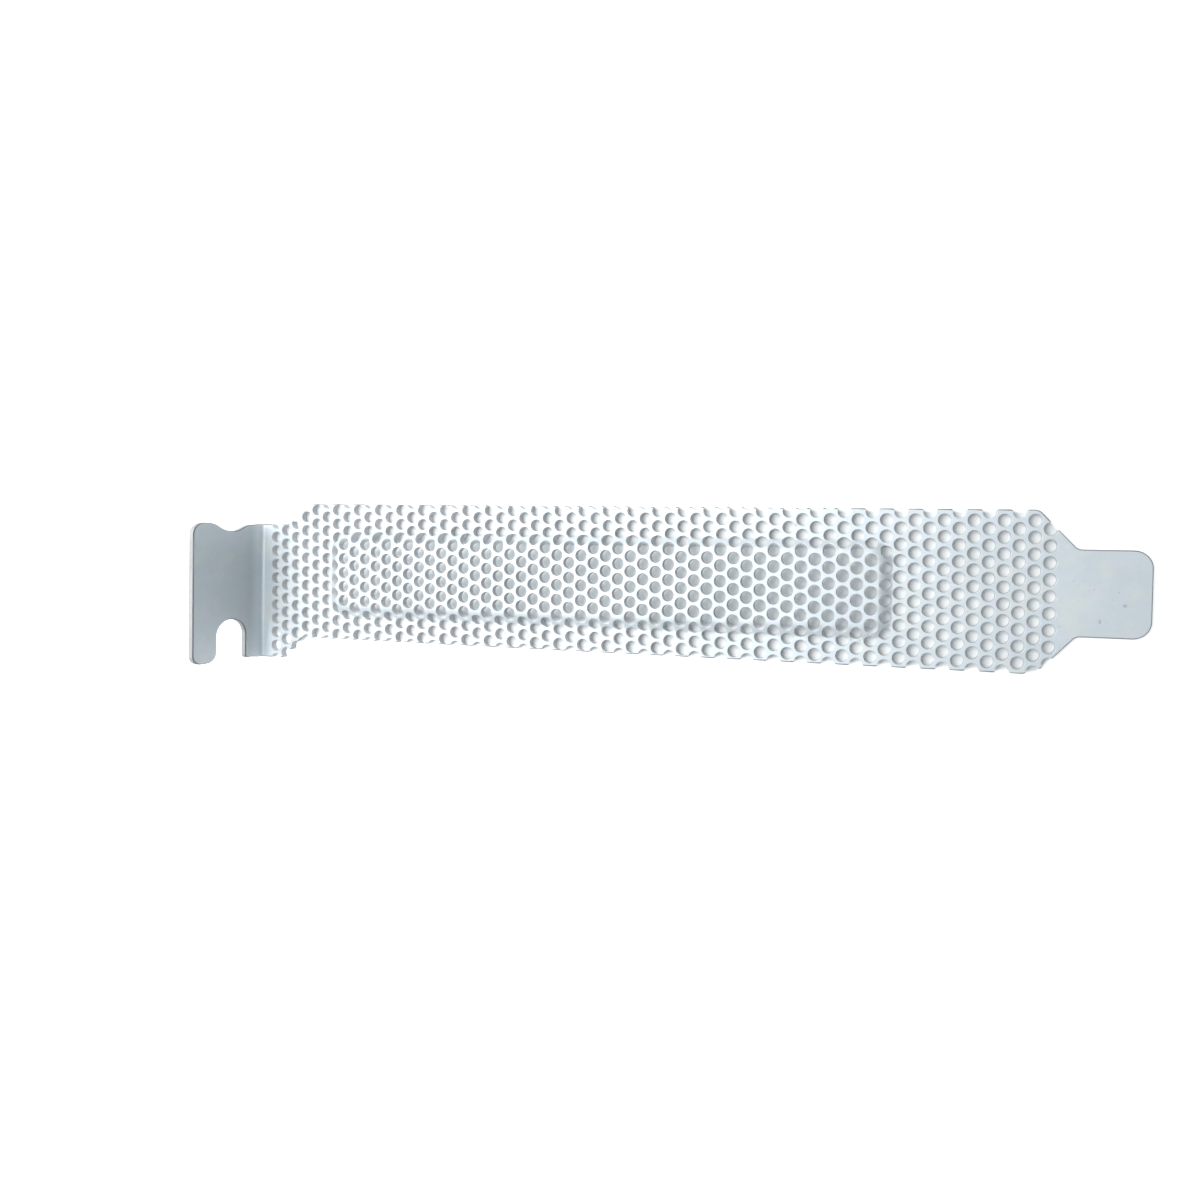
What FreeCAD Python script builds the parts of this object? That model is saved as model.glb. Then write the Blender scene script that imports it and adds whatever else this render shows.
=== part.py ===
"""Slot cover for one expansion slot of a computer case, in millimetres.

One sheet of zinc-plated steel. It is perforated in the coil, blanked to its
outline, embossed with a long raised panel and folded once into an L, so that
the short tab takes the case screw and the narrow tongue drops into the case.
The cover lies on its back, with the tab and the raised panel pointing up.
"""
import FreeCAD, Part
import math
import os

# Sheet
SHEET_THICKNESS = 0.8
BEND_INSIDE_RADIUS = 0.5

# Blank, seen from above with the tab at the left. X starts at the tab's outer
# face, and Y is measured from the centre line of the plate.
OVERALL_LENGTH = 120.02
PLATE_WIDTH = 19.32
TONGUE_WIDTH = 10.19
TONGUE_LENGTH = 8.05
TONGUE_CORNER_RADIUS = 2.05
SHOULDER_RUN = 4.35
SHOULDER_ROOT_RADIUS = 1.0
UPPER_SHOULDER_RADIUS = 1.0
LOWER_SHOULDER_RADIUS = 3.6
NECK_WIDTH = 19.36
NECK_OFFSET = -3.06
NECK_LENGTH_ABOVE = 5.1
NECK_LENGTH_BELOW = 4.55
NECK_STEP_RUN_ABOVE = 4.05
NECK_STEP_RUN_BELOW = 3.05
NECK_STEP_RADIUS = 1.0

# Tab, folded up at the neck. Heights are from the back face of the plate.
TAB_HEIGHT = 11.43
TAB_WIDTH = 19.05
TAB_TAPER_LENGTH = 1.1
TAB_TOP_RADIUS = 1.7
TAB_FINGER_RADIUS = 1.3
TAB_STUB_RADIUS = 0.5
TAB_FINGER_WIDTH = 3.5
SCREW_SLOT_WIDTH = 4.42
SCREW_SLOT_DEPTH = 5.7
NOTCH_HALF_WIDTH = 2.6
NOTCH_CORNER_DEPTH = 1.5
NOTCH_VALLEY_RADIUS = 3.0
NOTCH_SHOULDER_RADIUS = 2.2
NOTCH_LARGEST_SHARE = 0.9

# Raised panel, embossed out of the plate towards the tab's side
PANEL_WIDTH = 12.02
PANEL_OFFSET = -0.27
PANEL_START = 12.5
PANEL_TO_TIP = 29.05
PANEL_HEIGHT = 0.8
PANEL_WALL_RUN = 1.3
PANEL_CORNER_RADIUS = 2.6
PANEL_INSIDE_RADIUS = 0.4

# Perforation: round holes in rows staggered by 60 degrees. The coil is
# perforated first, so the rows run a little askew and the edges cut holes open.
# A web thinner than SMALLEST_WEB between a hole and the edge breaks away, and
# the lips beside such an opening are at least OPENING_LIP thick.
HOLE_DIAMETER = 1.55
HOLE_PITCH = 1.97
FIRST_HOLE_X = 3.19
FIRST_HOLE_Y = 0.83
LAST_COLUMN_TO_TONGUE = 2.6
ROW_SKEW_DEGREES = 0.35
SMALLEST_BITE = 0.24
SMALLEST_WEB = 0.05
OPENING_LIP = 0.12

BEND_OUTSIDE_RADIUS = BEND_INSIDE_RADIUS + SHEET_THICKNESS
HALF_PLATE = PLATE_WIDTH / 2
HALF_TONGUE = TONGUE_WIDTH / 2
NECK_TOP = NECK_OFFSET + NECK_WIDTH / 2
NECK_BOTTOM = NECK_OFFSET - NECK_WIDTH / 2
TAB_INSET = (NECK_WIDTH - TAB_WIDTH) / 2
TAB_TOP = NECK_TOP - TAB_INSET
TAB_BOTTOM = NECK_BOTTOM + TAB_INSET
TONGUE_ROOT = OVERALL_LENGTH - TONGUE_LENGTH
SCREW_SLOT_HIGH = TAB_HEIGHT - TAB_FINGER_WIDTH
SCREW_SLOT_LOW = SCREW_SLOT_HIGH - SCREW_SLOT_WIDTH
PANEL_END = OVERALL_LENGTH - PANEL_TO_TIP
PANEL_MIDDLE = (PANEL_START + PANEL_END) / 2
PANEL_WALL_ANGLE = math.atan2(PANEL_HEIGHT, PANEL_WALL_RUN)
PANEL_UNDERSIDE_INSET = SHEET_THICKNESS * math.tan(PANEL_WALL_ANGLE / 2)
UP = FreeCAD.Vector(0, 0, 1)


def rounded_outline(corners):
    """Closed wire through the corners (point, radius), each rounded by a tangent arc."""
    points = [point for point, radius in corners]
    count = len(corners)
    starts = []
    ends = []
    arcs = []
    for index, (point, radius) in enumerate(corners):
        back = (points[index - 1] - point).normalize()
        ahead = (points[(index + 1) % count] - point).normalize()
        if radius == 0:
            starts.append(point)
            ends.append(point)
            arcs.append(None)
            continue
        half_angle = back.getAngle(ahead) / 2
        reach = radius / math.tan(half_angle)
        bisector = (back + ahead).normalize()
        middle = point + bisector * (radius / math.sin(half_angle) - radius)
        starts.append(point + back * reach)
        ends.append(point + ahead * reach)
        arcs.append(Part.Arc(starts[-1], middle, ends[-1]).toShape())
    edges = []
    for index in range(count):
        if arcs[index]:
            edges.append(arcs[index])
        following = starts[(index + 1) % count]
        if ends[index].distanceToPoint(following) > 1e-6:
            edges.append(Part.LineSegment(ends[index], following).toShape())
    return Part.Wire(edges)


def plate_outline():
    """Outline of the flat part of the blank, from the end of the bend to the tongue's tip."""
    bend_end = BEND_OUTSIDE_RADIUS
    shoulder = TONGUE_ROOT - SHOULDER_RUN
    corners = [
        (bend_end, NECK_TOP, 0),
        (NECK_LENGTH_ABOVE, NECK_TOP, NECK_STEP_RADIUS),
        (NECK_LENGTH_ABOVE + NECK_STEP_RUN_ABOVE, HALF_PLATE, NECK_STEP_RADIUS),
        (shoulder, HALF_PLATE, UPPER_SHOULDER_RADIUS),
        (TONGUE_ROOT, HALF_TONGUE, SHOULDER_ROOT_RADIUS),
        (OVERALL_LENGTH, HALF_TONGUE, TONGUE_CORNER_RADIUS),
        (OVERALL_LENGTH, -HALF_TONGUE, TONGUE_CORNER_RADIUS),
        (TONGUE_ROOT, -HALF_TONGUE, SHOULDER_ROOT_RADIUS),
        (shoulder, -HALF_PLATE, LOWER_SHOULDER_RADIUS),
        (NECK_LENGTH_BELOW + NECK_STEP_RUN_BELOW, -HALF_PLATE, NECK_STEP_RADIUS),
        (NECK_LENGTH_BELOW, NECK_BOTTOM, NECK_STEP_RADIUS),
        (bend_end, NECK_BOTTOM, 0),
    ]
    return rounded_outline([(FreeCAD.Vector(x, y, 0), radius) for x, y, radius in corners])


def tab_outline():
    """Outline of the tab in its inner face, with the screw slot open at its lower edge."""
    bend_end = BEND_OUTSIDE_RADIUS
    taper_end = bend_end + min(TAB_TAPER_LENGTH, (SCREW_SLOT_LOW - bend_end) / 2)
    stub_radius = min(TAB_STUB_RADIUS, SCREW_SLOT_LOW - taper_end)
    slot_middle = (SCREW_SLOT_LOW + SCREW_SLOT_HIGH) / 2
    slot_end = TAB_BOTTOM + SCREW_SLOT_DEPTH
    arch_radius = SCREW_SLOT_WIDTH / 2
    notch_half = min(NOTCH_HALF_WIDTH, NOTCH_LARGEST_SHARE * (slot_middle - taper_end))
    notch_slope = math.atan2(NOTCH_CORNER_DEPTH, notch_half)
    notch_room = slot_middle - notch_half - taper_end
    low_shoulder = min(NOTCH_SHOULDER_RADIUS, notch_room / math.tan(notch_slope / 2))
    notch_side = math.hypot(NOTCH_CORNER_DEPTH, notch_half)
    valley_room = notch_side - NOTCH_SHOULDER_RADIUS * math.tan(notch_slope / 2)
    valley_radius = min(NOTCH_VALLEY_RADIUS, valley_room / math.tan(notch_slope))
    corners = [
        (NECK_BOTTOM, bend_end, 0),
        (TAB_BOTTOM, taper_end, 0),
        (TAB_BOTTOM, SCREW_SLOT_LOW, stub_radius),
        (slot_end, SCREW_SLOT_LOW, arch_radius),
        (slot_end, SCREW_SLOT_HIGH, arch_radius),
        (TAB_BOTTOM, SCREW_SLOT_HIGH, TAB_FINGER_RADIUS),
        (TAB_BOTTOM, TAB_HEIGHT, TAB_FINGER_RADIUS),
        (TAB_TOP, TAB_HEIGHT, TAB_TOP_RADIUS),
        (TAB_TOP, slot_middle + notch_half, NOTCH_SHOULDER_RADIUS),
        (TAB_TOP - NOTCH_CORNER_DEPTH, slot_middle, valley_radius),
        (TAB_TOP, slot_middle - notch_half, low_shoulder),
        (TAB_TOP, taper_end, 0),
        (NECK_TOP, bend_end, 0),
    ]
    return rounded_outline([(FreeCAD.Vector(0, y, z), radius) for y, z, radius in corners])


def fold():
    """Quarter turn of sheet between the plate and the tab."""
    axis_x = BEND_OUTSIDE_RADIUS
    axis_z = BEND_OUTSIDE_RADIUS
    width = NECK_TOP - NECK_BOTTOM
    base = FreeCAD.Vector(axis_x, NECK_BOTTOM, axis_z)
    along = FreeCAD.Vector(0, 1, 0)
    outside = Part.makeCylinder(BEND_OUTSIDE_RADIUS, width, base, along)
    inside = Part.makeCylinder(BEND_INSIDE_RADIUS, width, base, along)
    quarter = Part.makeBox(axis_x, width, axis_z, FreeCAD.Vector(0, NECK_BOTTOM, 0))
    return outside.cut(inside).common(quarter)


def panel_frustum(inset, low, high):
    """Solid with the panel's sloping walls, its foot drawn in by inset."""
    rims = []
    for draw_in, z in ((inset, low), (inset + PANEL_WALL_RUN, high)):
        half_width = PANEL_WIDTH / 2 - draw_in
        start = PANEL_START + draw_in
        end = PANEL_END - draw_in
        radius = PANEL_CORNER_RADIUS - draw_in
        low_y = PANEL_OFFSET - half_width
        high_y = PANEL_OFFSET + half_width
        corners = [(start, low_y), (end, low_y), (end, high_y), (start, high_y)]
        rims.append(rounded_outline([(FreeCAD.Vector(x, y, z), radius) for x, y in corners]))
    return Part.makeLoft(rims, True, True)


def panel_edges(sheet, heights):
    """Edges of the raised panel's rims that lie at one of the heights."""
    found = []
    for edge in sheet.Edges:
        box = edge.BoundBox
        flat = box.ZLength < 1e-6 and any(abs(box.ZMin - height) < 1e-6 for height in heights)
        within = box.XMin > PANEL_START - 0.01 and box.XMax < PANEL_END + 0.01
        reach = max(box.YMax - PANEL_OFFSET, PANEL_OFFSET - box.YMin)
        inside = reach < PANEL_WIDTH / 2 + 0.01
        if flat and within and inside:
            found.append(edge)
    return found


def emboss(plate):
    """Raises the panel, with the same sheet thickness in its walls, and rounds its rims."""
    top = SHEET_THICKNESS + PANEL_HEIGHT
    raised = panel_frustum(0, SHEET_THICKNESS, top)
    hollow = panel_frustum(PANEL_UNDERSIDE_INSET, 0, PANEL_HEIGHT)
    sheet = plate.fuse(raised).cut(hollow)
    outside = PANEL_INSIDE_RADIUS + SHEET_THICKNESS
    sheet = sheet.makeFillet(outside, panel_edges(sheet, (0, top)))
    return sheet.makeFillet(PANEL_INSIDE_RADIUS, panel_edges(sheet, (SHEET_THICKNESS, PANEL_HEIGHT)))


def wall_lean(x, y):
    """Depth inside the panel's foot and the outward direction in plan at a point."""
    dx = abs(x - PANEL_MIDDLE) - (PANEL_END - PANEL_START) / 2 + PANEL_CORNER_RADIUS
    dy = abs(y - PANEL_OFFSET) - PANEL_WIDTH / 2 + PANEL_CORNER_RADIUS
    if dx > 0 and dy > 0:
        depth = PANEL_CORNER_RADIUS - math.hypot(dx, dy)
        outward = FreeCAD.Vector(dx, dy, 0)
    elif dx > dy:
        depth = PANEL_CORNER_RADIUS - dx
        outward = FreeCAD.Vector(1, 0, 0)
    else:
        depth = PANEL_CORNER_RADIUS - dy
        outward = FreeCAD.Vector(0, 1, 0)
    outward.x = math.copysign(outward.x, x - PANEL_MIDDLE)
    outward.y = math.copysign(outward.y, y - PANEL_OFFSET)
    return depth, outward.normalize()


def punch(x, y):
    """Cylinder that cuts one hole, square to the sheet, also where it is a sloping wall."""
    radius = HOLE_DIAMETER / 2
    depth, outward = wall_lean(x, y)
    if 0 < depth < PANEL_WALL_RUN:
        lean = outward * math.sin(PANEL_WALL_ANGLE) + UP * math.cos(PANEL_WALL_ANGLE)
        rise = PANEL_HEIGHT * depth / PANEL_WALL_RUN
        centre = FreeCAD.Vector(x, y, SHEET_THICKNESS / 2 + rise)
        reach = SHEET_THICKNESS
        return Part.makeCylinder(radius, 2 * reach, centre - lean * reach, lean)
    reach = 2 * SHEET_THICKNESS + PANEL_HEIGHT
    return Part.makeCylinder(radius, 2 * reach, FreeCAD.Vector(x, y, -reach), UP)


def with_opening(cylinder, centre, edge_point):
    """The punch of a hole beside the edge, widened into an opening with blunt lips."""
    gap = centre.distanceToPoint(edge_point)
    half_width = math.sqrt((HOLE_DIAMETER / 2) ** 2 - (gap - OPENING_LIP) ** 2)
    outward = (edge_point - centre).normalize()
    side = UP.cross(outward) * half_width
    far = outward * (gap + OPENING_LIP)
    corners = [centre - side, centre - side + far, centre + side + far, centre + side]
    slot = Part.Face(Part.makePolygon(corners + corners[:1])).extrude(UP * 2 * SHEET_THICKNESS)
    slot.translate(UP * -SHEET_THICKNESS / 2)
    return cylinder.fuse(slot)


def hole_centres():
    """Lattice points of the perforation, turned by the small skew."""
    column_step = HOLE_PITCH * math.sqrt(3) / 2
    skew = math.radians(ROW_SKEW_DEGREES)
    columns = int((TONGUE_ROOT - LAST_COLUMN_TO_TONGUE - FIRST_HOLE_X) / column_step) + 1
    rows = int((NECK_WIDTH + PLATE_WIDTH) / HOLE_PITCH)
    for column in range(columns):
        along = column * column_step
        for row in range(-rows, rows + 1):
            across = (row + 0.5 * (column % 2)) * HOLE_PITCH
            x = FIRST_HOLE_X + along * math.cos(skew) - across * math.sin(skew)
            y = FIRST_HOLE_Y + along * math.sin(skew) + across * math.cos(skew)
            yield x, y


def perforate(sheet, outline):
    """Cuts every lattice hole that lies in the plate or bites far enough into its edge."""
    face = Part.Face(outline)
    radius = HOLE_DIAMETER / 2
    punches = []
    for x, y in hole_centres():
        centre = FreeCAD.Vector(x, y, 0)
        gap, points, details = Part.Vertex(centre).distToShape(outline)
        inside = face.isInside(centre, 1e-6, True)
        if not inside and gap > radius - SMALLEST_BITE:
            continue
        cylinder = punch(x, y)
        if inside and OPENING_LIP < gap < radius + SMALLEST_WEB:
            cylinder = with_opening(cylinder, centre, points[0][1])
        punches.append(cylinder)
    return sheet.cut(punches)


def slot_cover():
    """The whole cover, with its origin under the middle of its bounding box."""
    outline = plate_outline()
    plate = Part.Face(outline).extrude(UP * SHEET_THICKNESS)
    sheet = perforate(emboss(plate), outline)
    tab = Part.Face(tab_outline()).extrude(FreeCAD.Vector(SHEET_THICKNESS, 0, 0))
    cover = sheet.fuse([fold(), tab]).removeSplitter().Solids[0]
    middle_x = OVERALL_LENGTH / 2
    middle_y = (HALF_PLATE + NECK_BOTTOM) / 2
    cover.translate(FreeCAD.Vector(-middle_x, -middle_y, 0))
    return cover


os.makedirs("parts", exist_ok=True)
cover = slot_cover()
cover.exportStep("parts/slot_cover.step")
print("slot_cover", cover.ShapeType, len(cover.Solids), "solid,", round(cover.Volume, 2), "mm3")
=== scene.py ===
"""Slot cover of a computer case: one perforated, embossed and folded sheet of zinc-plated steel.

The sheet is made flat, in the order of the real one: a coil with rows of round holes is tiled from
hexagon cells, the blank is cut out of it, the lips of its open bites are rounded, the long panel is
embossed and the tab is folded up. The flat sheet lies with X from the tab's outer face and Y from the
plate's middle, in metres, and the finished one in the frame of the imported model.
"""
import bpy
import bmesh
import math
from mathutils import Matrix, Vector
from mathutils.bvhtree import BVHTree


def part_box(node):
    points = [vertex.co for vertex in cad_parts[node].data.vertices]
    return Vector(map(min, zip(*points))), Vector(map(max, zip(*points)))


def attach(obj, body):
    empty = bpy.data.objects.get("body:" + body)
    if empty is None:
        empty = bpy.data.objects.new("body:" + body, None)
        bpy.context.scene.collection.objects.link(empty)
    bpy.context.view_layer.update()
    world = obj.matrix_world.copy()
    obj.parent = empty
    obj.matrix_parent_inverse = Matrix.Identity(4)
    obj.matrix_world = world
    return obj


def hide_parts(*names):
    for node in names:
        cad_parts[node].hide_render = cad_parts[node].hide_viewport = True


bl_info = {
    "name": "Slot cover",
    "version": (1, 0, 0),
    "blender": (4, 5, 0),
    "location": "View3D > Sidebar > Slot cover",
    "description": "Models a perforated slot cover of a computer case around its packed frame",
    "category": "Object",
}

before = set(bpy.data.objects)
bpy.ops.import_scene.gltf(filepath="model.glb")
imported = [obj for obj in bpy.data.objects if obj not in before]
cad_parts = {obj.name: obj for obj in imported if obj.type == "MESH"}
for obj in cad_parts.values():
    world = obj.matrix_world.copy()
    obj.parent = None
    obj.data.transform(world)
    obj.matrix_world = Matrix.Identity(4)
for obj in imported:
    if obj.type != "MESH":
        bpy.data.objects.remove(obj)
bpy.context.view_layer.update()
CAD_LOW, CAD_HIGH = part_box("slot_cover")
MILLIMETRE = 0.001

# Distances in metres below which two places, corners or heights count as one.
SAME_PLACE = 1e-6
SAME_CORNER = 2e-7
SAME_HEIGHT = 1e-7

# Straight steps that make up the arcs.
ARC_STEP = math.radians(9)
LIP_STEPS = 4
FOLD_STEPS = 10

# How upright the normal of a flat part, of a face and of a sheared rim is at least, from 0 to 1.
FLAT_UPRIGHT = 0.9999
FACE_UPRIGHT = 0.85
RIM_UPRIGHT = 0.5


def distance(name, description, millimetres):
    """A length property whose default is given in millimetres."""
    return bpy.props.FloatProperty(
        name=name, description=description, default=millimetres * MILLIMETRE,
        subtype="DISTANCE", unit="LENGTH", precision=5)


def amount(name, description, default):
    """A plain number from 0 to 1."""
    return bpy.props.FloatProperty(
        name=name, description=description, default=default, min=0.0, max=1.0, subtype="FACTOR")


def tint(name, description, default):
    """A colour property."""
    return bpy.props.FloatVectorProperty(
        name=name, description=description, default=default, size=3, min=0.0, max=1.0, subtype="COLOR")


class SheetSettings(bpy.types.PropertyGroup):
    """Sizes of the blank and its fold."""
    thickness: distance("Thickness", "Thickness of the steel sheet", 0.8)
    fold_radius: distance("Fold radius", "Inside radius of the fold", 0.5)
    edge_rim: distance("Edge rim", "Rounding of the blank's sheared edges", 0.22)
    length: distance("Length", "From the tab's outer face to the tongue's tip", 120.02)
    plate_width: distance("Plate width", "Width of the perforated plate", 19.32)
    tongue_width: distance("Tongue width", "Width of the tongue", 10.19)
    tongue_length: distance("Tongue length", "Length of the tongue past its shoulders", 8.05)
    tongue_corner: distance("Tongue corner", "Radius of the tongue's corners", 2.05)
    shoulder_run: distance("Shoulder run", "Length along the plate of each sloping shoulder", 4.35)
    shoulder_root: distance("Shoulder root", "Radius between a shoulder and the tongue", 1.0)
    upper_shoulder: distance("Upper shoulder", "Radius between the upper edge and its shoulder", 1.0)
    lower_shoulder: distance("Lower shoulder", "Radius between the lower edge and its shoulder", 3.6)
    neck_top: distance("Neck top", "Upper edge of the neck that carries the tab", 6.62)
    neck_bottom: distance("Neck bottom", "Lower edge of the neck that carries the tab", -12.74)
    neck_above: distance("Neck length above", "Length of the neck at its upper edge", 5.1)
    neck_below: distance("Neck length below", "Length of the neck at its lower edge", 4.55)
    neck_run_above: distance("Neck run above", "Length of the slope from the neck to the upper edge", 4.05)
    neck_run_below: distance("Neck run below", "Length of the slope from the neck to the lower edge", 3.05)
    neck_step: distance("Neck step", "Radius of the steps from the neck to the plate", 1.0)
    tab_height: distance("Tab height", "Height of the tab above the back face", 11.43)
    tab_inset: distance("Tab inset", "How far each side of the tab is narrower than the neck", 0.155)
    tab_taper: distance("Tab taper", "Length over which the tab gets narrower", 1.1)
    tab_corner: distance("Tab corner", "Radius of the tab's free upper corner", 1.7)
    finger_corner: distance("Finger corner", "Radius of the finger beside the screw slot", 1.3)
    stub_corner: distance("Stub corner", "Radius of the stub below the screw slot", 0.5)
    finger_width: distance("Finger width", "Width of the finger beside the screw slot", 3.5)
    slot_width: distance("Slot width", "Width of the screw slot", 4.42)
    slot_depth: distance("Slot depth", "Depth of the screw slot", 5.7)
    notch_half_width: distance("Notch half width", "Half the width of the shallow notch", 2.6)
    notch_depth: distance("Notch depth", "Depth of the notch at its sharp corner", 1.5)
    notch_valley: distance("Notch valley", "Radius in the notch", 3.0)
    notch_shoulder: distance("Notch shoulder", "Radius at both ends of the notch", 2.2)


class PanelSettings(bpy.types.PropertyGroup):
    """Sizes of the raised panel."""
    start: distance("Start", "From the tab's outer face to the panel's foot", 12.5)
    end: distance("End", "From the tab's outer face to the panel's far foot", 90.97)
    width: distance("Width", "Width of the panel at its foot", 12.02)
    offset: distance("Offset", "From the plate's middle to the panel's middle", -0.27)
    height: distance("Height", "How far the panel stands up", 0.8)
    wall_run: distance("Wall run", "Width of the sloping wall, seen from above", 1.3)
    corner: distance("Corner", "Radius of the panel's corners at its foot", 2.6)
    inside_radius: distance("Inside radius", "Radius inside each fold of the wall", 0.4)


class HoleSettings(bpy.types.PropertyGroup):
    """Sizes of the perforation."""
    diameter: distance("Diameter", "Diameter of a hole", 1.55)
    rim: distance("Rim", "Width of the slope that the punch draws round a hole", 0.05)
    pitch: distance("Pitch", "Distance between neighbouring holes", 1.97)
    first_x: distance("First column", "From the tab's outer face to the first column", 3.19)
    first_y: distance("First hole", "From the plate's middle to a hole of the first column", 0.83)
    last_x: distance("Last column", "The last column of holes is before this place", 109.37)
    smallest_bite: distance("Smallest bite", "A hole that cuts in less than this is left out", 0.24)
    lip: distance("Lip", "Largest rounding of the lips beside the open bites", 0.27)
    lip_room: distance("Lip room", "Longest stretch of the edge that one rounding takes", 0.36)
    skew: bpy.props.FloatProperty(
        name="Skew", description="Turn of the rows against the blank",
        default=math.radians(0.35), subtype="ANGLE", unit="ROTATION")
    sides: bpy.props.IntProperty(
        name="Sides", description="Straight sides that make up one hole", default=24, min=12, max=48)


class FinishSettings(bpy.types.PropertyGroup):
    """Colours of the zinc and of its cut edges, with painted shade on the sheared rims and on the upright
    tab.
    """
    zinc: tint("Zinc", "Colour of the plated faces", (0.715, 0.78, 0.822))
    zinc_dull: tint("Dull zinc", "Colour of the darker mottling", (0.655, 0.725, 0.77))
    zinc_warm: tint("Warm zinc", "Colour of the yellowish bloom", (0.76, 0.81, 0.79))
    zinc_violet: tint("Violet zinc", "Colour of the bluish violet bloom", (0.75, 0.77, 0.84))
    cut_steel: tint("Cut steel", "Colour of the punched and sheared walls", (0.64, 0.66, 0.68))
    cut_steel_dark: tint("Dark cut steel", "Colour of the darker cut walls", (0.46, 0.48, 0.50))
    # Painted shade: the sheared rims are coloured dark for the shade and dark reflection along the edges.
    rim_painted_shade: tint("Rim painted shade", "Dark colour painted on the drawn rims of the sheared edges as their shade", (0.24, 0.25, 0.27))
    speck: tint("Speck", "Colour of the small dark specks", (0.36, 0.38, 0.40))
    bloom: amount("Bloom", "Strength of the coloured bloom of the plating", 0.7)
    metallic: amount("Metallic", "Share of the mirror-like reflection of the faces", 0.6)
    wall_metallic: amount("Wall metallic", "Share of the mirror-like reflection of the punched walls", 0.3)
    roughness: amount("Roughness", "Roughness of the plating", 0.6)
    # Painted shade: darkens the plating up the upright tab, standing in for the shade on its face.
    tab_painted_shade: amount("Painted tab shade", "How much painted shade darkens the upright tab", 0.27)
    mottle: amount("Mottle", "Strength of the cloudy mottling", 0.5)
    scuffs: amount("Scuffs", "Strength of the fine handling marks", 0.5)


class StageSettings(bpy.types.PropertyGroup):
    """Floor, lamp and camera."""
    floor_colour: tint("Floor", "Colour of the floor", (0.815, 0.835, 0.84))
    floor_white: amount("Floor white", "White that the camera sees on the floor beside the cover", 0.5)
    lamp_place: bpy.props.FloatVectorProperty(
        name="Lamp", description="Place of the lamp", size=3,
        default=(-0.068, 0.035, 0.13), subtype="TRANSLATION", unit="LENGTH")
    lamp_size: distance("Lamp size", "Side of the square lamp", 130)
    lamp_watts: bpy.props.FloatProperty(
        name="Lamp power", description="Power of the lamp in watts", default=0.24)
    sky: amount("Sky", "Brightness of the soft light from above and from the tab's side", 0.67)
    sky_far: amount("Far sky", "Brightness of the soft light from the tongue's side", 0.22)
    camera_place: bpy.props.FloatVectorProperty(
        name="Camera", description="Place of the camera", size=3,
        default=(0.030647, 0.005463, 0.089387), subtype="TRANSLATION", unit="LENGTH")
    camera_aim: bpy.props.FloatVectorProperty(
        name="Aim", description="Point on the floor in the camera's axis", size=3,
        default=(0.012576, 0.003795, 0.0), subtype="TRANSLATION", unit="LENGTH")
    camera_roll: bpy.props.FloatProperty(
        name="Roll", description="Turn of the camera about its own axis",
        default=math.radians(1.189), subtype="ANGLE", unit="ROTATION")
    lens: bpy.props.FloatProperty(
        name="Lens", description="Focal length in millimetres", default=21.48)
    shift_x: bpy.props.FloatProperty(
        name="Shift X", description="Sideways shift of the lens", default=-0.1208)
    shift_y: bpy.props.FloatProperty(
        name="Shift Y", description="Upright shift of the lens", default=-0.0286)


def polygon_with_rounds(bm, corners):
    """Flat face through the corners (x, y, radius), each corner rounded by a tangent arc."""
    points = [Vector((x, y, 0)) for x, y, radius in corners]
    verts = [bm.verts.new(point) for point in points]
    face = bm.faces.new(verts)
    for index, (vert, (x, y, radius)) in enumerate(zip(verts, corners)):
        if radius == 0:
            continue
        back = (points[index - 1] - points[index]).normalized()
        ahead = (points[(index + 1) % len(points)] - points[index]).normalized()
        half_angle = back.angle(ahead) / 2
        turn = math.pi - 2 * half_angle
        segments = max(3, round(turn / ARC_STEP))
        bmesh.ops.bevel(
            bm, geom=[vert], offset=radius / math.tan(half_angle), offset_type="OFFSET",
            affect="VERTICES", segments=segments, profile=0.5, material=-1, clamp_overlap=False)


def blank_corners(s):
    """Corners of the flat blank with the tab unfolded to the left, clockwise from the tab's fold."""
    fold_end = s.fold_radius + s.thickness
    fold_start = fold_end - (s.fold_radius + s.thickness / 2) * math.pi / 2
    half_plate = s.plate_width / 2
    half_tongue = s.tongue_width / 2
    root = s.length - s.tongue_length
    shoulder = root - s.shoulder_run
    tab_top = s.neck_top - s.tab_inset
    tab_bottom = s.neck_bottom + s.tab_inset
    slot_high = s.tab_height - s.finger_width
    slot_low = slot_high - s.slot_width
    slot_middle = (slot_low + slot_high) / 2
    slot_end = tab_bottom + s.slot_depth
    arch = s.slot_width / 2 - SAME_PLACE

    def unfolded(height):
        return fold_start - (height - fold_end)

    return [
        (s.neck_above, s.neck_top, s.neck_step),
        (s.neck_above + s.neck_run_above, half_plate, s.neck_step),
        (shoulder, half_plate, s.upper_shoulder),
        (root, half_tongue, s.shoulder_root),
        (s.length, half_tongue, s.tongue_corner),
        (s.length, -half_tongue, s.tongue_corner),
        (root, -half_tongue, s.shoulder_root),
        (shoulder, -half_plate, s.lower_shoulder),
        (s.neck_below + s.neck_run_below, -half_plate, s.neck_step),
        (s.neck_below, s.neck_bottom, s.neck_step),
        (fold_start, s.neck_bottom, 0),
        (unfolded(fold_end + s.tab_taper), tab_bottom, 0),
        (unfolded(slot_low), tab_bottom, s.stub_corner),
        (unfolded(slot_low), slot_end, arch),
        (unfolded(slot_high), slot_end, arch),
        (unfolded(slot_high), tab_bottom, s.finger_corner),
        (unfolded(s.tab_height), tab_bottom, s.finger_corner),
        (unfolded(s.tab_height), tab_top, s.tab_corner),
        (unfolded(slot_middle + s.notch_half_width), tab_top, s.notch_shoulder),
        (unfolded(slot_middle), tab_top - s.notch_depth, s.notch_valley),
        (unfolded(slot_middle - s.notch_half_width), tab_top, s.notch_shoulder),
        (unfolded(fold_end + s.tab_taper), tab_top, 0),
        (fold_start, s.neck_top, 0),
    ]


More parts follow.
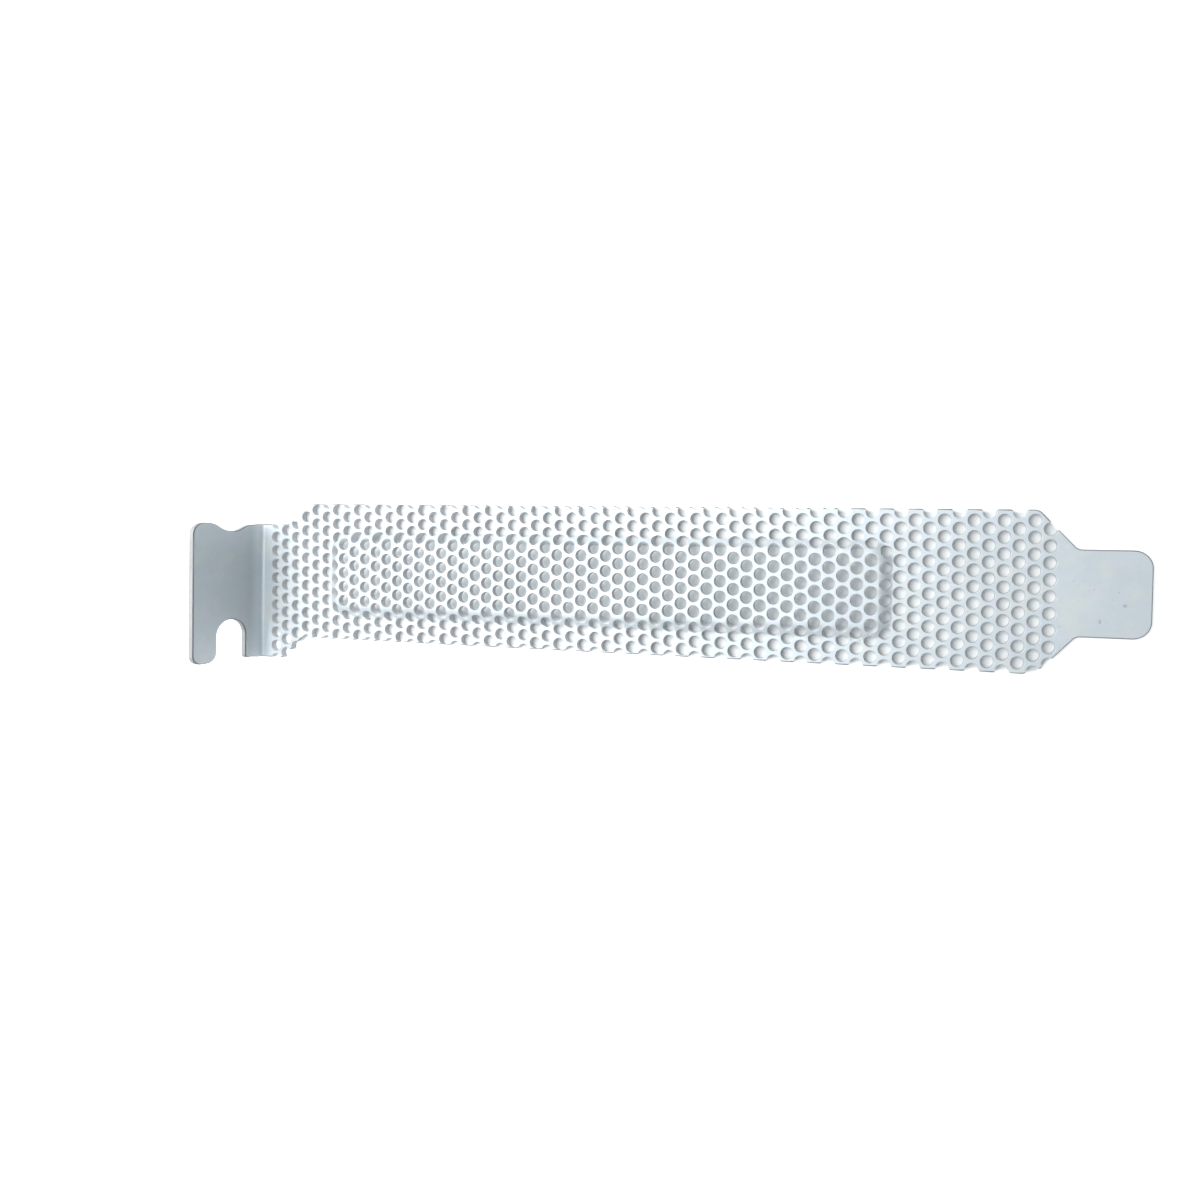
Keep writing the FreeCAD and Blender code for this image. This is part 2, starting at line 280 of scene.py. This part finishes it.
def blank_face(s):
    """The flat blank as one face."""
    bm = bmesh.new()
    polygon_with_rounds(bm, blank_corners(s))
    bmesh.ops.recalc_face_normals(bm, faces=bm.faces)
    return bm


def raise_faces(bm, faces, height):
    """Turns flat faces into plates of a height."""
    raised = bmesh.ops.extrude_face_region(bm, geom=faces)
    lifted = [item for item in raised["geom"] if isinstance(item, bmesh.types.BMVert)]
    bmesh.ops.translate(bm, verts=lifted, vec=(0, 0, height))


def blank_cutter(s):
    """A plate with the blank's outline, whose rounded rims round the sheet's sheared edges."""
    proud = 0.004 * MILLIMETRE
    bm = blank_face(s)
    raise_faces(bm, bm.faces[:], s.thickness + 2 * proud)
    bmesh.ops.translate(bm, verts=bm.verts, vec=(0, 0, -proud))
    bmesh.ops.recalc_face_normals(bm, faces=bm.faces)
    rims = [edge for edge in bm.edges if abs(edge.verts[0].co.z - edge.verts[1].co.z) < SAME_HEIGHT]
    bmesh.ops.bevel(
        bm, geom=rims, offset=s.edge_rim + proud, offset_type="OFFSET", affect="EDGES",
        segments=4, profile=0.5, material=-1, clamp_overlap=False)
    return bm


def ring(bm, sides, radius, z, cuts=0, turn=0.0):
    """Edges of a flat ring, with each side cut into equal parts."""
    known = set(bm.edges)
    place = Matrix.Translation((0, 0, z)) @ Matrix.Rotation(turn, 4, "Z")
    bmesh.ops.create_circle(bm, cap_ends=False, segments=sides, radius=radius, matrix=place)
    if cuts:
        bmesh.ops.subdivide_edges(bm, edges=[e for e in bm.edges if e not in known], cuts=cuts)
    return [edge for edge in bm.edges if edge not in known]


def cell_mesh(sheet, holes, perforated):
    """Hexagon of sheet with or without a hole. Its sides stay open, so that cells join up.

    The lower ring is made last. Made sooner, it left some faces of the joined coil turned inside out."""
    bm = bmesh.new()
    side_cuts = holes.sides // 6 - 1
    reach = holes.pitch / math.sqrt(3)
    radius = holes.diameter / 2
    turn = math.radians(30)
    top = ring(bm, 6, reach, sheet.thickness, side_cuts, turn)
    if perforated:
        rings = [
            top,
            ring(bm, holes.sides, radius + holes.rim, sheet.thickness),
            ring(bm, holes.sides, radius, sheet.thickness - holes.rim / 2),
            ring(bm, holes.sides, radius, 0),
            ring(bm, 6, reach, 0, side_cuts, turn),
        ]
        for above, below in zip(rings, rings[1:]):
            bmesh.ops.bridge_loops(bm, edges=above + below)
    else:
        bmesh.ops.edgenet_fill(bm, edges=top)
        bottom = ring(bm, 6, reach, 0, side_cuts, turn)
        bmesh.ops.edgenet_fill(bm, edges=bottom)
    mesh = bpy.data.meshes.new("cell")
    bm.to_mesh(mesh)
    bm.free()
    return mesh


def coil_skew(holes):
    """Turns and moves the coil's lattice onto the blank."""
    return Matrix.Translation((holes.first_x, holes.first_y, 0)) @ Matrix.Rotation(holes.skew, 4, "Z")


def coil_cells(sheet, holes):
    """Places of the coil's cells in its own lattice, each with whether its hole is punched."""
    flat = blank_face(sheet)
    blank = BVHTree.FromBMesh(flat)
    low_x = min(vert.co.x for vert in flat.verts)
    flat.free()
    column_step = holes.pitch * math.sqrt(3) / 2
    skew = coil_skew(holes)
    first = math.floor((low_x - holes.first_x) / column_step) - 1
    last = math.ceil((sheet.length - holes.first_x) / column_step) + 1
    low_row = math.floor((sheet.neck_bottom - holes.first_y) / holes.pitch) - 2
    high_row = math.ceil((sheet.plate_width / 2 - holes.first_y) / holes.pitch) + 1
    reach = holes.diameter / 2 - holes.smallest_bite
    cells = []
    for column in range(first, last + 1):
        for row in range(low_row, high_row + 1):
            place = Vector((column * column_step, (row + 0.5 * (column % 2)) * holes.pitch, 0))
            centre = skew @ place
            gap = blank.find_nearest(centre)[3]
            cells.append((place, 0 <= column and centre.x < holes.last_x and gap < reach))
    return cells


def perforated_coil(sheet, holes, cells):
    """Slab of cells larger than the blank, with a hole in every cell whose hole cuts the blank."""
    with_hole = cell_mesh(sheet, holes, True)
    plain = cell_mesh(sheet, holes, False)
    bm = bmesh.new()
    for place, punched in cells:
        copy = (with_hole if punched else plain).copy()
        copy.transform(Matrix.Translation(place))
        bm.from_mesh(copy)
        bpy.data.meshes.remove(copy)
    bmesh.ops.remove_doubles(bm, verts=bm.verts, dist=SAME_PLACE)
    border = [edge for edge in bm.edges if edge.is_boundary]
    bmesh.ops.bridge_loops(bm, edges=border)
    bmesh.ops.recalc_face_normals(bm, faces=bm.faces)
    bmesh.ops.transform(bm, matrix=coil_skew(holes), verts=bm.verts)
    return bm


def lip_corner(holes, hole, foot, inward, lip_way, half):
    """Outline of the small corner to cut off one lip, where a hole's circle meets the blank's edge."""
    radius = holes.diameter / 2
    clear = 0.2 * MILLIMETRE
    smaller = 0.9
    depth = (hole - foot).dot(inward)
    lip = holes.lip / smaller
    run = math.inf
    while run > holes.lip_room:
        lip *= smaller
        run = math.sqrt((radius + lip) ** 2 - (depth - lip) ** 2) - half
    centre = foot + lip_way * (half + run) + inward * lip
    turn = (-inward).angle_signed((hole - centre).normalized())
    steps = [Matrix.Rotation(-turn * step / LIP_STEPS, 2) for step in range(LIP_STEPS + 1)]
    arc = [centre - step @ inward * lip for step in steps]
    inside = arc[-1] + (hole - arc[-1]).normalized() * clear
    outside = foot + lip_way * (half - min(clear, half)) - inward * clear
    return [*arc, inside, outside, arc[0] - inward * clear]


def lip_cutters(sheet, holes, cells):
    """Small prisms that round the sharp lips where holes open through the blank's edge."""
    flat = blank_face(sheet)
    face = flat.faces[:][0]
    outline = [loop.vert.co.xy for loop in face.loops]
    if face.normal.z < 0:
        outline.reverse()
    flat.free()
    skew = coil_skew(holes)
    centres = [(skew @ place).xy for place, punched in cells if punched]
    radius = holes.diameter / 2
    past = 0.1 * MILLIMETRE
    bm = bmesh.new()
    for start, end in zip(outline, outline[1:] + outline[:1]):
        along = (end - start).normalized()
        inward = Vector((-along.y, along.x))
        for hole in centres:
            depth = (hole - start).dot(inward)
            if abs(depth) >= radius:
                continue
            half = math.sqrt(radius ** 2 - depth ** 2)
            foot = hole - inward * depth
            for side in (-1, 1):
                if 0 <= (foot - start).dot(along) + side * half < (end - start).length:
                    corner = lip_corner(holes, hole, foot, inward, along * side, half)
                    bm.faces.new([bm.verts.new((*point, -past)) for point in corner])
    raise_faces(bm, bm.faces[:], sheet.thickness + 2 * past)
    bmesh.ops.recalc_face_normals(bm, faces=bm.faces)
    return bm


def as_object(bm, name):
    """Turns a bmesh into an object in the scene."""
    mesh = bpy.data.meshes.new(name)
    bm.to_mesh(mesh)
    bm.free()
    made = bpy.data.objects.new(name, mesh)
    bpy.context.scene.collection.objects.link(made)
    return made


def with_modifiers(made):
    """Mesh of an object with its modifiers applied."""
    depsgraph = bpy.context.evaluated_depsgraph_get()
    return bpy.data.meshes.new_from_object(made.evaluated_get(depsgraph))


def drop_crumbs(bm):
    """Removes the tiny loose bits that the cuts leave, so that the sheet is one body."""
    left = set(bm.verts)
    bodies = []
    while left:
        queue = [left.pop()]
        body = []
        while queue:
            vert = queue.pop()
            body.append(vert)
            near = {edge.other_vert(vert) for edge in vert.link_edges} & left
            left -= near
            queue.extend(near)
        bodies.append(body)
    bodies.sort(key=len)
    bmesh.ops.delete(bm, geom=[vert for body in bodies[:-1] for vert in body], context="VERTS")


def cut_blank(sheet, holes):
    """The flat perforated blank."""
    cells = coil_cells(sheet, holes)
    coil = as_object(perforated_coil(sheet, holes, cells), "coil")
    tools = (
        (as_object(blank_cutter(sheet), "blank"), "INTERSECT"),
        (as_object(lip_cutters(sheet, holes, cells), "lips"), "DIFFERENCE"),
    )
    for tool, operation in tools:
        cut = coil.modifiers.new(tool.name, "BOOLEAN")
        cut.operation = operation
        cut.solver = "MANIFOLD"
        cut.object = tool
    mesh = with_modifiers(coil)
    for used in (coil, *(tool for tool, operation in tools)):
        bpy.data.objects.remove(used)
    bm = bmesh.new()
    bm.from_mesh(mesh)
    bpy.data.meshes.remove(mesh)
    bmesh.ops.remove_doubles(bm, verts=bm.verts, dist=SAME_CORNER)
    drop_crumbs(bm)
    return bm


def depth_in_panel(panel, inset, x, y):
    """How far a point lies inside the panel's foot line, and the direction outwards there."""
    middle = (panel.start + panel.end) / 2
    corner = panel.corner - inset
    dx = abs(x - middle) - (panel.end - panel.start) / 2 + inset + corner
    dy = abs(y - panel.offset) - panel.width / 2 + inset + corner
    if dx > 0 and dy > 0:
        depth = corner - math.hypot(dx, dy)
        outward = Vector((dx, dy, 0))
    elif dx > dy:
        depth = corner - dx
        outward = Vector((1, 0, 0))
    else:
        depth = corner - dy
        outward = Vector((0, 1, 0))
    outward.x = math.copysign(outward.x, x - middle)
    outward.y = math.copysign(outward.y, y - panel.offset)
    return depth, outward.normalized()


def wall_profile(panel, radius, depth):
    """Height and slope of the sheet's middle line at a depth inside the panel's foot."""
    angle = math.atan2(panel.height, panel.wall_run)
    reach = radius * math.tan(angle / 2)
    arc = radius * math.sin(angle)
    from_foot = depth + reach
    to_top = panel.wall_run + reach - depth
    if from_foot <= 0:
        return 0.0, 0.0
    if to_top <= 0:
        return panel.height, 0.0
    if from_foot < arc:
        lean = math.asin(from_foot / radius)
        return radius * (1 - math.cos(lean)), lean
    if to_top < arc:
        lean = math.asin(to_top / radius)
        return panel.height - radius * (1 - math.cos(lean)), lean
    return depth * math.tan(angle), angle


def emboss(bm, sheet, panel):
    """Raises the panel. The sheet keeps its thickness, and its holes lean with the wall."""
    half = sheet.thickness / 2
    angle = math.atan2(panel.height, panel.wall_run)
    inset = half * math.tan(angle / 2)
    radius = panel.inside_radius + half
    for vert in bm.verts:
        depth, outward = depth_in_panel(panel, inset, vert.co.x, vert.co.y)
        rise, lean = wall_profile(panel, radius, depth)
        if rise == 0:
            continue
        above = vert.co.z - half
        normal = outward * math.sin(lean) + Vector((0, 0, math.cos(lean)))
        vert.co = Vector((vert.co.x, vert.co.y, half + rise)) + normal * above


def fold_tab(bm, sheet):
    """Wraps the sheet round the fold, so that the tab stands up."""
    fold_end = sheet.fold_radius + sheet.thickness
    neutral = sheet.fold_radius + sheet.thickness / 2
    beside_fold = fold_end + 4 * sheet.thickness
    for step in range(FOLD_STEPS + 1):
        place = fold_end - neutral * math.pi / 2 * step / FOLD_STEPS
        near = [face for face in bm.faces if face.calc_center_bounds().x < beside_fold]
        parts = set(near)
        for face in near:
            parts.update(face.edges)
            parts.update(face.verts)
        bmesh.ops.bisect_plane(
            bm, geom=list(parts), plane_co=(place, 0, 0), plane_no=(1, 0, 0), dist=SAME_HEIGHT)
    for vert in bm.verts:
        past = fold_end - vert.co.x
        if past <= 0:
            continue
        turn = min(past / neutral, math.pi / 2)
        straight = past - turn * neutral
        radius = fold_end - vert.co.z
        vert.co.x = fold_end - radius * math.sin(turn)
        vert.co.z = fold_end - radius * math.cos(turn) + straight


def mark_cut_walls(bm):
    """Gives cut walls their own material and sheared rims one painted dark as shade, and keeps the flat
    faces flat to their rims.
    """
    for face in bm.faces:
        face.smooth = True
        upright = abs(face.normal.z)
        # Index 2 marks the sheared rims, whose material is painted dark as their shade.
        face.material_index = 0 if upright > FACE_UPRIGHT else 2 if upright > RIM_UPRIGHT else 1
    for edge in bm.edges:
        flat = [abs(face.normal.z) > FLAT_UPRIGHT for face in edge.link_faces]
        edge.smooth = all(flat) or not any(flat)


def socket(group, name, kind, direction):
    """One socket of a node group."""
    group.interface.new_socket(name=name, in_out=direction, socket_type="NodeSocket" + kind)


class Shader:
    """Short calls for adding and joining nodes in one node tree."""

    def __init__(self, tree):
        self.tree = tree

    def node(self, kind, label, **settings):
        made = self.tree.nodes.new(kind)
        made.label = label
        for key, value in settings.items():
            setattr(made, key, value)
        return made

    def join(self, start, end):
        self.tree.links.new(start, end)

    def noise(self, vector, scale, detail, roughness, label):
        made = self.node("ShaderNodeTexNoise", label)
        made.inputs["Scale"].default_value = scale
        made.inputs["Detail"].default_value = detail
        made.inputs["Roughness"].default_value = roughness
        self.join(vector, made.inputs["Vector"])
        return made.outputs["Fac"]

    def ramp(self, value, low, high, label):
        made = self.node("ShaderNodeMapRange", label, clamp=True, interpolation_type="SMOOTHSTEP")
        made.inputs["From Min"].default_value = low
        made.inputs["From Max"].default_value = high
        self.join(value, made.inputs["Value"])
        return made.outputs["Result"]

    def maths(self, operation, first, second, label):
        made = self.node("ShaderNodeMath", label, operation=operation)
        for slot, value in zip(made.inputs, (first, second)):
            if isinstance(value, (int, float)):
                slot.default_value = value
            else:
                self.join(value, slot)
        return made.outputs["Value"]

    def blend(self, factor, first, second, label):
        made = self.node("ShaderNodeMix", label, data_type="RGBA")
        self.join(factor, made.inputs["Factor"])
        for key, value in (("A", first), ("B", second)):
            slot = [s for s in made.inputs if s.identifier == key + "_Color"][0]
            if isinstance(value, (tuple, list)):
                slot.default_value = value
            else:
                self.join(value, slot)
        return [s for s in made.outputs if s.identifier == "Result_Color"][0]


def zinc_cloud_group():
    """Mottling of the zinc: slow clouds, patches of coloured bloom, finer spots and the plating's grain."""
    group = bpy.data.node_groups.new("Zinc clouds", "ShaderNodeTree")
    socket(group, "Vector", "Vector", "INPUT")
    for name in ("Clouds", "Warm", "Violet", "Spots", "Grain"):
        socket(group, name, "Float", "OUTPUT")
    s = Shader(group)
    start = s.node("NodeGroupInput", "In")
    end = s.node("NodeGroupOutput", "Out")
    vector = start.outputs["Vector"]
    elsewhere = s.node("ShaderNodeMapping", "elsewhere")
    elsewhere.inputs["Location"].default_value = (0.31, 0.17, 0.05)
    s.join(vector, elsewhere.inputs["Vector"])
    clouds = s.noise(vector, 130, 4, 0.6, "slow clouds")
    warm = s.noise(elsewhere.outputs["Vector"], 320, 3, 0.6, "warm patches")
    violet = s.noise(elsewhere.outputs["Vector"], 430, 3, 0.6, "violet patches")
    s.join(s.ramp(clouds, 0.38, 0.66, "clouds"), end.inputs["Clouds"])
    s.join(s.ramp(warm, 0.50, 0.68, "warm bloom"), end.inputs["Warm"])
    s.join(s.ramp(violet, 0.52, 0.70, "violet bloom"), end.inputs["Violet"])
    s.join(s.ramp(s.noise(vector, 1100, 2, 0.6, "spots"), 0.45, 0.72, "spot mask"), end.inputs["Spots"])
    s.join(s.noise(vector, 7000, 2, 0.6, "plating grain"), end.inputs["Grain"])
    return group


def handling_group():
    """Marks of handling: short thin scratches in two directions, and small specks that gather in places."""
    group = bpy.data.node_groups.new("Handling marks", "ShaderNodeTree")
    socket(group, "Vector", "Vector", "INPUT")
    for name in ("Marks", "Specks"):
        socket(group, name, "Float", "OUTPUT")
    s = Shader(group)
    start = s.node("NodeGroupInput", "In")
    end = s.node("NodeGroupOutput", "Out")
    found = []
    for turn, scale in ((18, (260, 5200, 900)), (-52, (220, 4300, 900))):
        mapping = s.node("ShaderNodeMapping", "turn")
        mapping.inputs["Rotation"].default_value = (0, 0, math.radians(turn))
        mapping.inputs["Scale"].default_value = scale
        s.join(start.outputs["Vector"], mapping.inputs["Vector"])
        lines = s.noise(mapping.outputs["Vector"], 1.0, 1, 0.4, "scratch lines")
        found.append(s.ramp(lines, 0.70, 0.78, "scratches"))
    s.join(s.maths("MAXIMUM", found[0], found[1], "both ways"), end.inputs["Marks"])
    dots = s.ramp(s.noise(start.outputs["Vector"], 1500, 3, 0.7, "dots"), 0.60, 0.70, "dark dots")
    places = s.noise(start.outputs["Vector"], 330, 1, 0.5, "places")
    places = s.ramp(places, 0.54, 0.66, "where dots gather")
    s.join(s.maths("MULTIPLY", dots, places, "specks"), end.inputs["Specks"])
    return group


def steel_material(name, clouds, marks, light, dark, finish, bloom, metallic, grain_depth):
    """One finish of the plated sheet, from the shared groups with its own values."""
    material = bpy.data.materials.new(name)
    material.use_nodes = True
    tree = material.node_tree
    s = Shader(tree)
    surface = tree.nodes["Principled BSDF"]
    place = s.node("ShaderNodeTexCoord", "Object").outputs["Object"]
    cloud = s.node("ShaderNodeGroup", "Zinc clouds", node_tree=clouds)
    mark = s.node("ShaderNodeGroup", "Handling marks", node_tree=marks)
    s.join(place, cloud.inputs["Vector"])
    s.join(place, mark.inputs["Vector"])
    shade = s.maths("MULTIPLY", cloud.outputs["Clouds"], finish.mottle, "cloud strength")
    spots = s.maths("MULTIPLY", cloud.outputs["Spots"], finish.mottle * 0.5, "spot strength")
    colour = s.blend(s.maths("ADD", shade, spots, "mottling"), (*light, 1), (*dark, 1), "zinc colour")
    warm = s.maths("MULTIPLY", cloud.outputs["Warm"], bloom, "warm strength")
    colour = s.blend(warm, colour, (*finish.zinc_warm, 1), "warm bloom")
    violet = s.maths("MULTIPLY", cloud.outputs["Violet"], bloom, "violet strength")
    colour = s.blend(violet, colour, (*finish.zinc_violet, 1), "violet bloom")
    dirt = s.maths("MULTIPLY", mark.outputs["Specks"], finish.scuffs, "speck strength")
    colour = s.blend(dirt, colour, (*finish.speck, 1), "dark specks")
    height = s.node("ShaderNodeSeparateXYZ", "height")
    s.join(place, height.inputs["Vector"])
    # Painted shade: the colour darkens up the upright tab, for the shade that falls on its face.
    fold_top, tab_foot = 1.3 * MILLIMETRE, 3 * MILLIMETRE
    tab = s.ramp(height.outputs["Z"], fold_top, tab_foot, "up the tab")
    painted_tab_shade = s.maths("MULTIPLY", tab, finish.tab_painted_shade, "painted shade on the tab")
    s.join(s.blend(painted_tab_shade, colour, (0, 0, 0, 1), "tab colour with painted shade"), surface.inputs["Base Color"])
    grain_gloss = 0.12
    grain = s.maths("MULTIPLY", cloud.outputs["Grain"], grain_gloss, "grain in gloss")
    mark_gloss = -0.10 * finish.scuffs
    worn = s.maths("MULTIPLY", mark.outputs["Marks"], mark_gloss, "gloss of marks")
    changes = s.maths("ADD", grain, worn, "gloss changes")
    rough = s.maths("ADD", changes, finish.roughness - grain_gloss / 2, "roughness")
    s.join(rough, surface.inputs["Roughness"])
    surface.inputs["Metallic"].default_value = metallic
    relief = s.maths("SUBTRACT", cloud.outputs["Grain"], mark.outputs["Marks"], "relief")
    bump = s.node("ShaderNodeBump", "fine relief")
    bump.inputs["Strength"].default_value = 0.35
    bump.inputs["Distance"].default_value = grain_depth
    s.join(relief, bump.inputs["Height"])
    s.join(bump.outputs["Normal"], surface.inputs["Normal"])
    return material


class SLOTCOVER_OT_sheet(bpy.types.Operator):
    """Build the perforated, embossed and folded sheet"""
    bl_idname = "slot_cover.sheet"
    bl_label = "Slot cover sheet"

    def execute(self, context):
        scene = context.scene
        sheet, panel, holes = scene.slot_cover_sheet, scene.slot_cover_panel, scene.slot_cover_holes
        finish = scene.slot_cover_finish
        bm = cut_blank(sheet, holes)
        if not bm.faces:
            raise RuntimeError("the blank could not be cut from the coil")
        bm.normal_update()
        mark_cut_walls(bm)
        emboss(bm, sheet, panel)
        fold_tab(bm, sheet)
        middle_y = (sheet.plate_width / 2 + sheet.neck_bottom) / 2
        bmesh.ops.translate(bm, verts=bm.verts, vec=(-sheet.length / 2, -middle_y, 0))
        piece = as_object(bm, "slot_cover_sheet")
        soften = piece.modifiers.new("even shading", "WEIGHTED_NORMAL")
        soften.keep_sharp = True
        piece.data = with_modifiers(piece)
        piece.modifiers.clear()
        clouds, marks = zinc_cloud_group(), handling_group()
        fine, coarse = 0.003 * MILLIMETRE, 0.01 * MILLIMETRE
        looks = (
            ("Zinc plated face", finish.zinc, finish.zinc_dull, finish.bloom, finish.metallic, fine),
            ("Punched wall", finish.cut_steel, finish.cut_steel_dark, 0.0, finish.wall_metallic, coarse),
            # The sheared rims are painted dark, standing in for the shade and dark reflection along the
            # cover's edges.
            ("Sheared rim painted shade", finish.rim_painted_shade, finish.cut_steel_dark, 0.0, finish.metallic, coarse),
        )
        for name, light, dark, bloom, metallic, grain in looks:
            piece.data.materials.append(
                steel_material(name, clouds, marks, light, dark, finish, bloom, metallic, grain))
        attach(piece, "root")
        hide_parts("slot_cover")
        return {"FINISHED"}


def square_lamp(name, place, aim, side, watts, colour):
    """Soft square lamp that points at a place."""
    lamp = bpy.data.lights.new(name, "AREA")
    lamp.shape = "SQUARE"
    lamp.size = side
    lamp.energy = watts
    lamp.color = colour
    made = bpy.data.objects.new(name, lamp)
    bpy.context.scene.collection.objects.link(made)
    made.location = place
    made.rotation_euler = (Vector(aim) - Vector(place)).to_track_quat("-Z", "Y").to_euler()


def floor_material(stage, sheet, holes):
    """Pale floor that the camera sees as white beside the cover, and as it is lit under its holes."""
    material = bpy.data.materials.new("Pale floor")
    material.use_nodes = True
    tree = material.node_tree
    s = Shader(tree)
    surface = tree.nodes["Principled BSDF"]
    surface.inputs["Base Color"].default_value = (*stage.floor_colour, 1)
    surface.inputs["Roughness"].default_value = 0.9
    place = s.node("ShaderNodeSeparateXYZ", "place on the floor")
    s.join(s.node("ShaderNodeTexCoord", "Object").outputs["Object"], place.inputs["Vector"])
    margin = 0.25 * MILLIMETRE
    right = CAD_LOW.x + holes.last_x + holes.diameter / 2 - margin
    top = CAD_HIGH.y - margin
    bottom = CAD_HIGH.y - sheet.plate_width + margin
    outside = []
    for axis, low, high in (("X", CAD_LOW.x + margin, right), ("Y", bottom, top)):
        from_middle = s.maths("SUBTRACT", place.outputs[axis], (low + high) / 2, "from the middle")
        length = s.maths("ABSOLUTE", from_middle, 0, "distance")
        half = (high - low) / 2
        outside.append(s.ramp(length, half - margin, half + margin, "beside the plate"))
    run = sheet.shoulder_run
    rise = (sheet.plate_width - sheet.tongue_width) / 2
    middle_x = CAD_LOW.x + sheet.length - sheet.tongue_length - run
    along = s.maths("SUBTRACT", place.outputs["X"], middle_x, "past the shoulder")
    across = s.maths("SUBTRACT", place.outputs["Y"], (top + bottom) / 2, "from the middle")
    across = s.maths("ABSOLUTE", across, 0, "distance")
    across = s.maths("SUBTRACT", across, sheet.plate_width / 2, "past the long edge")
    slope = s.maths("MULTIPLY", along, rise / math.hypot(run, rise), "share along")
    drop = s.maths("MULTIPLY", across, run / math.hypot(run, rise), "share across")
    past_slope = s.maths("ADD", slope, drop, "past the slope")
    outside.append(s.ramp(past_slope, -margin, margin, "beside the shoulder"))
    away = s.maths("MAXIMUM", outside[0], outside[1], "beside the rectangle")
    away = s.maths("MAXIMUM", away, outside[2], "beside the cover")
    rays = s.node("ShaderNodeLightPath", "rays").outputs
    direct = s.maths("MAXIMUM", rays["Is Camera Ray"], rays["Is Glossy Ray"], "seen or mirrored")
    glow = s.maths("MULTIPLY", direct, away, "where it is white")
    surface.inputs["Emission Color"].default_value = (1, 1, 1, 1)
    s.join(s.maths("MULTIPLY", glow, stage.floor_white, "white"), surface.inputs["Emission Strength"])
    return material


def studio_world(stage):
    """Even soft light, weaker towards the tongue's side, that the camera sees as a pale backdrop."""
    world = bpy.data.worlds.new("Studio")
    world.use_nodes = True
    s = Shader(world.node_tree)
    light = world.node_tree.nodes["Background"]
    light.inputs["Color"].default_value = (0.94, 0.98, 1.0, 1)
    side = s.node("ShaderNodeSeparateXYZ", "direction")
    s.join(s.node("ShaderNodeTexCoord", "sky").outputs["Generated"], side.inputs["Vector"])
    far = s.ramp(side.outputs["X"], 0.1, 0.9, "towards the tongue's side")
    less = s.maths("MULTIPLY", far, stage.sky_far - stage.sky, "weaker")
    brightness = s.maths("ADD", less, stage.sky, "brightness")
    seen = s.node("ShaderNodeLightPath", "rays").outputs["Is Camera Ray"]
    s.join(s.maths("MAXIMUM", brightness, seen, "pale backdrop"), light.inputs["Strength"])
    return world


class SLOTCOVER_OT_stage(bpy.types.Operator):
    """Build the floor, the lamp and the camera"""
    bl_idname = "slot_cover.stage"
    bl_label = "Floor, lamp and camera"

    def execute(self, context):
        scene = context.scene
        stage = scene.slot_cover_stage
        half_floor = 1.5
        gap = 0.02 * MILLIMETRE
        bm = bmesh.new()
        bmesh.ops.create_grid(bm, x_segments=1, y_segments=1, size=half_floor)
        bmesh.ops.translate(bm, verts=bm.verts, vec=(0, 0, CAD_LOW.z - gap))
        floor = as_object(bm, "floor")
        floor.data.materials.append(floor_material(stage, scene.slot_cover_sheet, scene.slot_cover_holes))
        scene.world = studio_world(stage)
        aim = (30 * MILLIMETRE, 0, 0)
        warm_white = (1.0, 0.99, 0.98)
        square_lamp("key", stage.lamp_place, aim, stage.lamp_size, stage.lamp_watts, warm_white)
        lens = bpy.data.cameras.new("camera")
        lens.sensor_fit = "HORIZONTAL"
        lens.sensor_width = 36
        lens.lens = stage.lens
        lens.shift_x = stage.shift_x
        lens.shift_y = stage.shift_y
        lens.clip_start = 0.001
        camera = bpy.data.objects.new("camera", lens)
        scene.collection.objects.link(camera)
        place = Vector(stage.camera_place)
        back = (place - Vector(stage.camera_aim)).normalized()
        right = Vector((0, 1, 0)).cross(back).normalized()
        upright = Matrix((right, back.cross(right), back)).transposed()
        turn = upright @ Matrix.Rotation(stage.camera_roll, 3, "Z")
        camera.matrix_world = Matrix.Translation(place) @ turn.to_4x4()
        scene.camera = camera
        scene.view_settings.view_transform = "Standard"
        return {"FINISHED"}


class SLOTCOVER_PT_sidebar(bpy.types.Panel):
    """Lists the sizes and the steps"""
    bl_idname = "SLOTCOVER_PT_sidebar"
    bl_label = "Slot cover"
    bl_space_type = "VIEW_3D"
    bl_region_type = "UI"
    bl_category = "Slot cover"

    def draw(self, context):
        for name in ("sheet", "panel", "holes", "finish", "stage"):
            settings = getattr(context.scene, "slot_cover_" + name)
            box = self.layout.box()
            box.label(text=name.capitalize())
            for key in settings.__annotations__:
                box.prop(settings, key)
        self.layout.operator(SLOTCOVER_OT_sheet.bl_idname)
        self.layout.operator(SLOTCOVER_OT_stage.bl_idname)


SETTINGS = {
    "slot_cover_sheet": SheetSettings,
    "slot_cover_panel": PanelSettings,
    "slot_cover_holes": HoleSettings,
    "slot_cover_finish": FinishSettings,
    "slot_cover_stage": StageSettings,
}
CLASSES = (*SETTINGS.values(), SLOTCOVER_OT_sheet, SLOTCOVER_OT_stage, SLOTCOVER_PT_sidebar)


def register():
    for cls in CLASSES:
        bpy.utils.register_class(cls)
    for name, cls in SETTINGS.items():
        setattr(bpy.types.Scene, name, bpy.props.PointerProperty(type=cls))


def unregister():
    for name in SETTINGS:
        delattr(bpy.types.Scene, name)
    for cls in reversed(CLASSES):
        bpy.utils.unregister_class(cls)


def main():
    register()
    bpy.ops.slot_cover.sheet()
    bpy.ops.slot_cover.stage()


if __name__ == "__main__":
    main()
